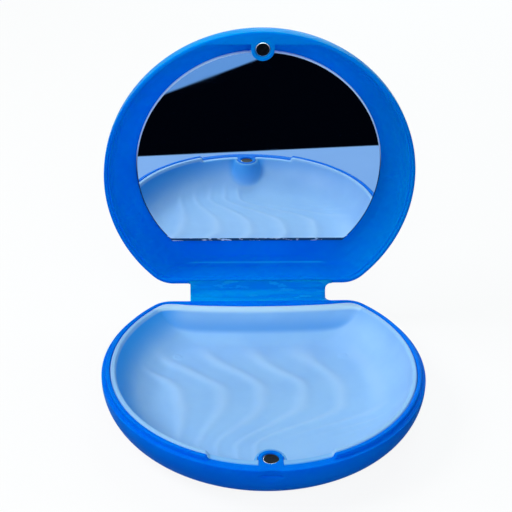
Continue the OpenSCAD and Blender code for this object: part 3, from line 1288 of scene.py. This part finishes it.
@dataclass(frozen=True)
class Liner:
    """Soft liner that fills the base: a dished floor, a bowed back wall and a rippled skin."""

    case: CaseSizes
    ripples: Ripples = Ripples()
    edge: float = 2.3
    back_edge: float = 2.8
    rim_width: float = 1.2
    back_width: float = 1.8
    bow: float = 1.5
    dish_radius: float = 12.5
    dish_held: float = 0.97
    floor_z: float = 4.55
    bottom_round: float = 9.55
    bottom_z: float = 2.2
    bottom_steps: int = 8
    bottom_back: float = 0.3
    shoulder: float = 2.0
    shoulder_land: float = 0.4
    foot: float = 4.5
    foot_reach: float = 5.631
    foot_from: float = 0.9
    steep: float = 5.0
    steep_from: float = 0.95
    corner_power: float = 3.0
    rim_round: float = 0.6
    brim_width: float = 0.4
    brim_drop: float = 0.3
    wall_share: float = 0.7
    wall_steps: int = 70
    middle_share: float = 0.01
    floor_steps: int = 72
    sharp_deg: float = 70.0
    sleeve: float = 0.6
    sleeve_slope: float = 3.2
    sleeve_blend: float = 1.3
    tongue_lap: float = 0.1
    tongue_drop: float = 3.0
    side_fade: Span = (1.0, 8.5)
    back_fade: Span = (3.0, 11.0)
    tongue_fade: Span = (1.5, 6.0)
    pip_x: float = 22.5
    pip_y: float = 16.2
    pip_radius: float = 1.3
    pip_edge: float = 0.4
    pip_depth: float = 0.12

    def rim(self, points: np.ndarray) -> np.ndarray:
        """Height of the liner's upper edge at each point."""
        return self.case.lip_top - (self.case.lip_top - self.case.rim_top) * self.case.notch(points)

    def flat_radius(self) -> float:
        """Finds where the flat floor turns up into the dish.

        Returns:
            The radius.
        """
        depth = self.case.lip_top - self.floor_z
        run = math.sqrt(self.dish_radius**2 - (self.dish_radius - depth) ** 2)
        return self.case.radius - self.edge - self.rim_width - run

    def behind(self, points: np.ndarray) -> np.ndarray:
        """Finds how far points lie in front of the liner's back wall.

        Args:
            points: Rows of x and y.

        Returns:
            One distance for each point.
        """
        half = math.sqrt(self.case.radius**2 - self.case.back**2)
        wall = self.case.back - self.back_edge - self.back_width
        return wall - self.bow * (1.0 - (points[:, 0] / half) ** 2) - points[:, 1]

    def from_tongue(self, points: np.ndarray) -> np.ndarray:
        """How far each point lies outside the magnet's tongue."""
        ahead = np.maximum(points[:, 1] - self.case.magnet_y, 0.0)
        return np.hypot(points[:, 0], ahead) - self.case.tongue_radius

    def back_rise(self, points: np.ndarray) -> np.ndarray:
        """Finds the back wall's rise above the floor: round shoulder, steep face, hollow foot.

        Args:
            points: Rows of x and y.

        Returns:
            One rise for each point.
        """

        def curve(reach: np.ndarray, radius: float) -> np.ndarray:
            """Follows a rounding and the steep face after it.

            Args:
                reach: How far along each point is.
                radius: Radius of the rounding.

            Returns:
                How far each point has risen.
            """
            reach = np.clip(reach, 0.0, None)
            held = np.minimum(reach, self.steep_from * radius)
            return radius - np.sqrt(radius**2 - held**2) + self.steep * (reach - held)

        gap = self.behind(points)
        top = self.case.lip_top - self.floor_z
        fall = top - curve(gap + self.back_width - self.shoulder_land, self.shoulder)
        foot = curve(self.foot_reach - gap, self.foot)
        return np.clip(np.where(gap < self.foot_from, fall, foot), 0.0, None)

    def heights(self, points: np.ndarray) -> np.ndarray:
        """Finds the height of the liner's upper skin.

        Args:
            points: Rows of x and y.

        Returns:
            One height for each point.
        """
        out = np.hypot(points[:, 0], points[:, 1]) - self.flat_radius()
        out = np.clip(out, 0.0, self.dish_held * self.dish_radius)
        dish = self.dish_radius - np.sqrt(self.dish_radius**2 - out**2)
        power = self.corner_power
        skin = self.floor_z + (dish**power + self.back_rise(points) ** power) ** (1.0 / power)
        apart = self.from_tongue(points)
        collar = self.case.rim_top - self.sleeve_slope * np.clip(apart - self.sleeve, 0.0, None)
        skin = soft_max(skin, collar, self.sleeve_blend)
        skin = soft_min(skin, self.rim(points), self.rim_round)
        for side in (-1.0, 1.0):
            away = np.hypot(points[:, 0] - side * self.pip_x, points[:, 1] - self.pip_y)
            pip = 1.0 - smoothstep(self.pip_radius - self.pip_edge, self.pip_radius, away)
            skin = skin + self.pip_depth * pip
        return np.where(apart < -self.tongue_lap, self.case.rim_top - self.tongue_drop, skin)

    def floor_share(self, points: np.ndarray) -> np.ndarray:
        """Finds how fully the ripples show, from 0 on the walls to 1 on the floor.

        Args:
            points: Rows of x and y.

        Returns:
            One share for each point.
        """
        away = np.hypot(points[:, 0], points[:, 1]) - self.flat_radius()
        share = 1.0 - smoothstep(*self.side_fade, away)
        share = share * smoothstep(*self.back_fade, self.behind(points))
        return share * smoothstep(*self.tongue_fade, self.from_tongue(points))

    def build(self, finishes: Finishes) -> bpy.types.Object:
        """Makes the liner, raises its ripples and dresses it.

        Args:
            finishes: The case's materials.

        Returns:
            The piece.
        """
        outline = self.case.outline
        plan = outline.ring(self.edge, self.back_edge, self.edge, self.bow)
        walls = np.linspace(1.0, self.wall_share, self.wall_steps)
        floors = np.linspace(self.wall_share, self.middle_share, self.floor_steps)[1:]
        spans = np.concatenate([walls, floors])
        rings = []
        for turn in np.linspace(math.pi / 2, 0.0, self.bottom_steps):
            inset = self.bottom_round * (1 - math.cos(turn))
            back = self.back_edge + self.bottom_back * inset
            height = self.bottom_z + self.bottom_round * (1 - math.sin(turn))
            rings.append(at_height(outline.ring(self.edge + inset, back, self.edge, self.bow), height))
        for span in spans:
            points = plan * span
            brim = np.clip(1.0 - (1.0 - span) * self.case.radius / self.brim_width, 0.0, 1.0)
            rings.append(np.column_stack([points, self.heights(points) - self.brim_drop * brim**2]))
        solid = SolidBuilder()
        solid.loft(rings)
        piece = solid.make("soft_liner", sharp_deg=self.sharp_deg)
        spots = np.array([v.co for v in piece.data.vertices]) / MM
        under = np.zeros(self.bottom_steps * len(plan))
        upper = np.concatenate([under, np.ones(len(spans) * len(plan)), [0.0, 1.0]])
        floor = piece.data.attributes.new(FLOOR, "FLOAT", "POINT")
        floor.data.foreach_set("value", self.floor_share(spots) * upper)
        self.ripples.raise_on(piece, finishes.liner)
        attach(piece, Body.BASE.value)
        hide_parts("base_liner")
        return piece


@dataclass(frozen=True)
class LidShell:
    """Moulded lid, drawn shut: rounded top, thin rim, recess, straight ledge and tongue."""

    case: CaseSizes
    side_round: float = 9.6
    back_round: float = 4.0
    wall: float = 1.4
    wall_from: float = 0.05
    rim_width: float = 0.9
    rim_round: float = 0.3
    mouth_round: float = 0.22
    recess: float = 1.4
    recess_back: float = 1.3
    recess_round: float = 0.12
    ledge_inset: float = 3.5
    ledge_thick: float = 1.6
    ledge_round: float = 0.22
    bore_over: float = 1.0
    skin: float = 0.01

    def section(self) -> np.ndarray:
        """Section of the lid, from the middle of its top round the rim to the inside.

        Returns:
            The section's rows.
        """
        top = self.case.lid_height
        rows = []
        for turn in np.linspace(0.0, math.pi / 2, 31):
            drop = self.side_round * (1 - math.cos(turn))
            side = self.side_round * (1 - math.sin(turn))
            rows.append(Corner(side, drawn_in(drop, self.back_round), top - drop).row())
        side, back = self.rim_width, self.recess_back
        rim = rounded(
            [
                Corner(0.0, 0.0, top - self.side_round - self.wall_from),
                Corner(0.0, 0.0, 0.0, self.rim_round),
                Corner(side, back, 0.0, self.mouth_round, side),
                Corner(side, back, self.recess, self.recess_round, side),
                Corner(self.wall, self.wall, self.recess, self.recess_round, self.wall),
                Corner(self.wall, self.wall, top - self.side_round, 0.0, self.wall),
            ]
        )
        inner = self.side_round - self.wall
        floor = top - self.wall
        inside = []
        for turn in np.linspace(0.08, math.pi / 2, 24):
            drop = inner * (1 - math.sin(turn))
            side = self.wall + inner * (1 - math.cos(turn))
            back = self.wall + drawn_in(drop, self.back_round - self.wall)
            inside.append(Corner(side, back, floor - drop, 0.0, self.wall).row())
        return np.concatenate([np.array(rows), rim, np.array(inside)])

    def ledge_rings(self) -> list[np.ndarray]:
        """Rings of the straight-edged ledge inside the front rim.

        Returns:
            The rings, for one loft.
        """
        radius = self.case.radius - self.rim_width / 2
        edge = self.ledge_round

        def plan(inset: float) -> np.ndarray:
            """Segment of the round rim that the ledge's straight edge cuts off.

            Args:
                inset: How far the straight edge is drawn in.

            Returns:
                One row of x and y for each point.
            """
            y = -self.case.radius + self.ledge_inset - inset
            half = math.sqrt(radius**2 - y**2)
            across = np.linspace(half, -half, 40)
            turns = np.linspace(math.atan2(y, -half), math.atan2(y, half), 60)[1:-1]
            arc = radius * np.column_stack([np.cos(turns), np.sin(turns)])
            return np.concatenate([np.column_stack([across, np.full(len(across), y)]), arc])

        rings = []
        for turn in np.linspace(math.pi / 2, 0.0, 5):
            height = edge * (1 - math.sin(turn)) - self.skin
            rings.append(at_height(plan(edge * (1 - math.cos(turn))), height))
        for ring in rings[::-1]:
            rings.append(np.column_stack([ring[:, :2], self.ledge_thick - self.skin - ring[:, 2]]))
        return rings

    def build(self, finishes: Finishes) -> bpy.types.Object:
        """Makes the lid, swings it open and dresses it.

        Args:
            finishes: The case's materials.

        Returns:
            The piece.
        """
        cap = SolidBuilder()
        cap.loft(self.case.outline.rings(self.section()))
        ledge = SolidBuilder()
        ledge.loft(self.ledge_rings())
        tongue = SolidBuilder()
        tongue.loft(self.case.tongue_rings(-2 * self.skin, 1.0, self.case.lid_height, self.side_round))
        bore = SolidBuilder()
        pocket = circle(self.case.pocket_radius, self.case.magnet_y, 96)
        depth = self.case.magnet_sunk + self.case.magnet_thick - self.skin
        bore.loft([at_height(pocket, z) for z in (-self.bore_over, depth)])
        piece = united("lid_moulding", [cap, ledge, tongue], self.case.swung(), bore)
        piece.data.materials.append(finishes.lid)
        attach(piece, Body.LID.value)
        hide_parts("lid_shell")
        return piece


@dataclass(frozen=True)
class MirrorPane:
    """D-shaped mirror with a narrow bevel, drawn shut in the lid."""

    case: CaseSizes
    radius: float = 33.6
    back: float = 23.5
    corner: float = 0.6
    face_depth: float = 8.3
    thick: float = 1.1
    bevel: float = 0.35
    low_bevel: float = 1.0
    sharp_deg: float = 10.0

    def build(self, finishes: Finishes) -> bpy.types.Object:
        """Makes the mirror, swings it open and dresses its face and its edge.

        Args:
            finishes: The case's materials.

        Returns:
            The piece.
        """
        outline = CaseOutline(
            self.radius, self.back, self.corner, front_steps=300, corner_steps=6, back_steps=60
        )
        low, high = self.face_depth, self.face_depth + self.thick
        rear = self.bevel / 3
        section = np.array(
            [
                Corner(self.bevel, self.low_bevel, low).row(),
                Corner(0.0, 0.0, low + self.bevel).row(),
                Corner(0.0, 0.0, high - rear).row(),
                Corner(rear, rear, high).row(),
            ]
        )
        solid = SolidBuilder()
        solid.loft(outline.rings(section), [0] + [1] * len(section))
        piece = solid.make("mirror_pane", self.case.swung(), self.sharp_deg)
        piece.data.materials.append(finishes.mirror_face)
        piece.data.materials.append(finishes.mirror_edge)
        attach(piece, Body.LID.value)
        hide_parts("mirror")
        return piece


@dataclass(frozen=True)
class DiscMagnet:
    """Disc magnet with a bright rounded edge, sunk in one of the two tongues."""

    case: CaseSizes
    body: Body
    radius: float = 2.0
    edge: float = 0.28
    rear_edge: float = 0.1
    dish: float = 0.04
    face_shares: tuple[float, ...] = (0.02, 0.35, 0.7, 0.92, 1.0)

    def section(self) -> list[Span]:
        """Section of the disc, from the face's middle round its edge.

        Returns:
            The radius and the depth below the face at each step.
        """
        face = self.radius - self.edge
        rows = [(face * share, self.dish * (1 - share**2)) for share in self.face_shares]
        for turn in np.linspace(0.0, math.pi / 2, 6)[1:]:
            rows.append((face + self.edge * math.sin(turn), self.edge * (1 - math.cos(turn))))
        rows.append((self.radius, self.case.magnet_thick - self.rear_edge))
        rows.append((self.radius - self.rear_edge, self.case.magnet_thick))
        return rows

    def build(self, finishes: Finishes) -> bpy.types.Object:
        """Makes the magnet in its pocket and dresses its face and its edge.

        Args:
            finishes: The case's materials.

        Returns:
            The piece.
        """
        lid = self.body is Body.LID
        face = self.case.magnet_sunk if lid else self.case.rim_top - self.case.magnet_sunk
        down = 1.0 if lid else -1.0
        rings = []
        for radius, depth in self.section():
            rings.append(at_height(circle(radius, self.case.magnet_y, 72), face + down * depth))
        dark = len(self.face_shares)
        solid = SolidBuilder()
        solid.loft(rings, [0] * dark + [1] * (len(rings) + 1 - dark))
        piece = solid.make(f"{self.body.value}_magnet_disc", self.case.swung() if lid else None)
        piece.data.materials.append(finishes.magnet_face)
        piece.data.materials.append(finishes.magnet_edge)
        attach(piece, self.body.value)
        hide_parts(f"{self.body.value}_magnet")
        return piece


@dataclass(frozen=True)
class HingeStrap:
    """Moulded strap that bends between the rim of the base and the rim of the lid."""

    case: CaseSizes
    half_width: float = 19.0
    thick: float = 0.9
    bend: float = 2.0
    root: float = 1.0
    fillet_left: float = 0.5
    fillet_right: float = 1.9
    edge: float = 0.25
    path_steps: int = 64
    edge_steps: int = 7
    across_steps: int = 30
    skin: float = 0.01

    def path(self) -> tuple[np.ndarray, np.ndarray, np.ndarray]:
        """Middle line of the strap from the base's rim to the lid's.

        Returns:
            The points as rows of y and z, the way up from the strap at each, and how far
            each lies from the nearer rim, below 0 inside it.
        """
        level = self.case.rim_top - self.thick / 2 + self.skin
        turn = self.case.open_angle
        start = self.case.back
        lid_rim = self.case.rim_top + self.case.rim_gap + self.thick / 2 - self.skin
        reach = np.array([start - self.case.hinge.y, lid_rim - self.case.hinge.z])
        spin = np.array([[math.cos(turn), math.sin(turn)], [-math.sin(turn), math.cos(turn)]])
        end = np.array([self.case.hinge.y, self.case.hinge.z]) + spin @ reach
        along = spin @ np.array([-1.0, 0.0])
        meet = end - along * (end[1] - level) / along[1]
        tangent = self.bend * math.tan(turn / 2)
        flat = meet[0] - tangent - start
        upright = (end[1] - level) / along[1] - tangent
        points, ups, gaps = [], [], []
        length = flat + self.bend * turn + upright
        for step in np.linspace(-self.root, length + self.root, self.path_steps):
            if step < flat:
                point = np.array([start + step, level])
                angle = 0.0
            elif step < flat + self.bend * turn:
                angle = (step - flat) / self.bend
                middle = np.array([start + flat, level + self.bend])
                point = middle + self.bend * np.array([math.sin(angle), -math.cos(angle)])
            else:
                angle = turn
                point = end + along * (step - length)
            points.append(point)
            ups.append(np.array([-math.sin(angle), math.cos(angle)]))
            gaps.append(min(step, length - step))
        return np.array(points), np.array(ups), np.array(gaps)

    def build(self, finishes: Finishes) -> bpy.types.Object:
        """Makes the strap, bends it across the hinge and dresses it.

        Args:
            finishes: The case's materials.

        Returns:
            The piece.
        """
        points, ups, gaps = self.path()
        half = self.thick / 2
        turns = np.linspace(-math.pi / 2, math.pi / 2, self.edge_steps)
        rings = []
        for point, up, gap in zip(points, ups, gaps):
            left = self.edge - self.half_width - drawn_in(gap, self.fillet_left)
            right = self.half_width + drawn_in(gap, self.fillet_right) - self.edge
            across = np.linspace(right, left, self.across_steps)[1:-1]
            tip = np.column_stack([right + self.edge * np.cos(turns), half * np.sin(turns)])
            top = np.column_stack([across, np.full(len(across), half)])
            tail = np.column_stack([left - self.edge * np.cos(turns), -half * np.sin(turns)])
            under = np.column_stack([across[::-1], np.full(len(across), -half)])
            loop = np.concatenate([tip, top, tail, under])
            rings.append(np.column_stack([loop[:, 0], point + loop[:, 1:] * up]))
        solid = SolidBuilder()
        solid.loft(rings)
        piece = solid.make("hinge_strap")
        piece.data.materials.append(finishes.strap)
        bend = self.bend * math.sqrt(0.5)
        hinge = self.case.hinge
        start = Vector((0.0, hinge.y - bend, hinge.z - bend / 2)) * MM
        end = Vector((0.0, hinge.y + bend / 2, hinge.z + bend)) * MM
        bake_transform(piece)
        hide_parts("strap_base_leaf", "strap_lid_leaf")
        return piece


@dataclass(frozen=True)
class Lamp:
    """A square soft lamp: its name, its place in millimetres, its watts and its colour."""

    name: str
    place: Triple
    power: float
    colour: Triple = (0.68, 0.92, 1.0)


@dataclass(frozen=True)
class Studio:
    """Pale floor, soft lamps, a card in front of the case for its mirror, and the camera."""

    target: Triple = (-1.71, 17.44, 35.77)
    distance: float = 372.0
    turn_deg: float = 2.94
    elevation_deg: float = 30.59
    roll_deg: float = 1.18
    lens: float = 99.8
    sensor_width: float = 36.0
    clip_start: float = 0.01
    ambient: float = 0.09
    lamp_size: float = 220.0
    lamp_aim: Triple = (0.0, 10.0, 30.0)
    lamps: tuple[Lamp, ...] = (
        Lamp("key_left", (-345.0, 10.0, 365.0), 1.3, EVEN),
        Lamp("fill_front", (0.0, -350.0, 347.0), 0.74),
        Lamp("fill_low", (0.0, -455.0, 150.0), 0.42),
        Lamp("rim_back", (150.0, 230.0, 400.0), 0.45),
        Lamp("fill_back", (90.0, 430.0, 190.0), 0.45),
    )
    floor_size: float = 4000.0
    floor_shade: float = 0.1
    floor_light: Colour = (0.14, 0.2, 0.36, 1.0)
    card_edges: tuple[float, float, float, float] = (-160.0, 220.0, 60.0, -420.0)
    card_z: float = 0.05
    card_near: tuple[Colour, Colour] = ((0.32, 0.54, 0.96, 1.0), (0.35, 0.58, 1.0, 1.0))
    card_dark: Colour = (0.0005, 0.001, 0.003, 1.0)
    card_far: Colour = (0.17, 0.36, 0.75, 1.0)
    card_cloud_mm: float = 30.0
    card_cloud_detail: float = 3.0
    card_roughness: float = 0.8
    card_cloud_roughness: float = 0.1
    dark_mm: Span = (-70.0, -71.2)
    dark_slope: float = 0.106
    far_mm: Span = (-153.5, -156.5)
    far_slope: float = 1.0

    def camera(self) -> None:
        """Places the camera."""
        turn = math.radians(self.turn_deg)
        rise = math.radians(self.elevation_deg)
        level = math.cos(rise)
        ahead = Vector((math.sin(turn) * level, math.cos(turn) * level, -math.sin(rise)))
        place = Vector(self.target) - ahead * self.distance
        data = bpy.data.cameras.new("camera")
        data.lens = self.lens
        data.sensor_width = self.sensor_width
        data.clip_start = self.clip_start
        camera = bpy.data.objects.new("camera", data)
        facing = ahead.to_track_quat("-Z", "Y").to_matrix().to_4x4()
        roll = Matrix.Rotation(math.radians(self.roll_deg), 4, "Z")
        camera.matrix_world = Matrix.Translation(place * MM) @ facing @ roll
        bpy.context.scene.collection.objects.link(camera)
        bpy.context.scene.camera = camera

    def hang(self, lamp: Lamp) -> None:
        """Hangs a lamp so that it faces the case.

        Args:
            lamp: The lamp.
        """
        data = bpy.data.lights.new(lamp.name, "AREA")
        data.size = self.lamp_size * MM
        data.energy = lamp.power
        data.color = lamp.colour
        hung = bpy.data.objects.new(lamp.name, data)
        hung.location = Vector(lamp.place) * MM
        aim = Vector(self.lamp_aim) - Vector(lamp.place)
        hung.rotation_euler = aim.to_track_quat("-Z", "Y").to_euler()
        bpy.context.scene.collection.objects.link(hung)

    def seen(self, graph: Graph) -> Value:
        """Tells a look at a surface from plain light on it.

        Args:
            graph: The graph that the answer is for.

        Returns:
            1 where the camera, a gloss or a clear surface looks, and 0 for plain light.
        """
        path = graph.node("ShaderNodeLightPath")
        camera = Value(graph, path.outputs["Is Camera Ray"])
        gloss = Value(graph, path.outputs["Is Glossy Ray"])
        clear = Value(graph, path.outputs["Is Transmission Ray"])
        return graph.larger(graph.larger(camera, gloss), clear)

    def world(self) -> None:
        """White all round to the eye, and plain soft light on the case."""
        world = bpy.data.worlds.new("studio")
        world.use_nodes = True
        graph = Graph(world.node_tree)
        strength = self.ambient + (1.0 - self.ambient) * self.seen(graph)
        light = graph.value("ShaderNodeBackground", 0, {}, {"Color": WHITE, "Strength": strength})
        graph.node("ShaderNodeOutputWorld", {}, {"Surface": light})
        bpy.context.scene.world = world

    def sheet(self, name: str, corners: list[Span], z: float) -> bpy.types.Object:
        """Lays a flat sheet on the floor, as part of the stage.

        Args:
            name: Name of the sheet.
            corners: Its corners' x and y, in millimetres.
            z: Its height, in millimetres.

        Returns:
            The sheet.
        """
        mesh = bpy.data.meshes.new(name)
        points = [(x * MM, y * MM, z * MM) for x, y in corners]
        mesh.from_pydata(points, [], [tuple(range(len(corners)))])
        sheet = bpy.data.objects.new(name, mesh)
        bpy.context.scene.collection.objects.link(sheet)
        return sheet

    def floor(self) -> None:
        """Lays the pale floor, which is white to the eye and keeps the case's shadow."""
        half = self.floor_size / 2
        floor = self.sheet("floor", [(-half, -half), (half, -half), (half, half), (-half, half)], 0.0)
        material, graph = new_material("pale_floor")
        seen = self.seen(graph)
        shade = graph.mix(seen, self.floor_light, WHITE)
        matte = graph.value("ShaderNodeBsdfDiffuse", 0, {}, {"Color": shade})
        white = graph.value("ShaderNodeEmission", 0, {}, {"Color": WHITE, "Strength": 1.0})
        share = (1.0 - self.floor_shade) * seen
        both = graph.value("ShaderNodeMixShader", 0, {}, {0: share, 1: matte, 2: white})
        graph.node("ShaderNodeOutputMaterial", {}, {"Surface": both})
        floor.data.materials.append(material)

    def card(self) -> None:
        """Lays a card that only the mirror sees, painted with the reflection it shows: pale, then dark, then
        pale far off.
        """
        left, right, near, far = self.card_edges
        corners = [(left, far), (right, far), (right, near), (left, near)]
        card = self.sheet("mirror_card", corners, self.card_z)
        material, graph = new_material("mirror_card")
        x, y, _ = graph.parts(graph.place())
        # Painted reflection: the pale and dark zones that the mirror shows.
        dark = graph.ease_mm(y + self.dark_slope * x, self.dark_mm)
        beyond = graph.ease_mm(y + self.far_slope * x, self.far_mm)
        clouds = graph.noise(self.card_cloud_mm, self.card_cloud_detail)
        tone = graph.mix(dark, graph.mix(clouds, *self.card_near), self.card_dark)
        close_material(
            graph,
            {
                "Base Color": graph.mix(beyond, tone, self.card_far),
                "Roughness": self.card_roughness + self.card_cloud_roughness * clouds,
                "Specular IOR Level": 0.0,
            },
        )
        card.data.materials.append(material)
        card.visible_camera = False
        card.visible_shadow = False
        card.visible_diffuse = False

    def build(self) -> None:
        """Sets the whole stage."""
        bpy.context.scene.view_settings.view_transform = "Standard"
        self.camera()
        self.world()
        self.floor()
        self.card()
        for lamp in self.lamps:
            self.hang(lamp)


def main() -> None:
    """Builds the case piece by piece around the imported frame."""
    logging.basicConfig(level=logging.INFO, format="%(name)s: %(message)s")
    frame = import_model()
    case = CaseSizes.from_frame(frame)
    Studio().build()
    finishes = Finishes.build()
    pieces = [
        BaseShell(case).build(finishes),
        Liner(case).build(finishes),
        LidShell(case).build(finishes),
        MirrorPane(case).build(finishes),
        HingeStrap(case).build(finishes),
        DiscMagnet(case, Body.BASE).build(finishes),
        DiscMagnet(case, Body.LID).build(finishes),
    ]
    tape = frame["nodes"]["mirror_tape"]
    tape.data.materials.clear()
    tape.data.materials.append(finishes.tape)
    for piece in pieces:
        LOG.info("%s: %d faces", piece.name, len(piece.data.polygons))


if __name__ == "__main__":
    main()
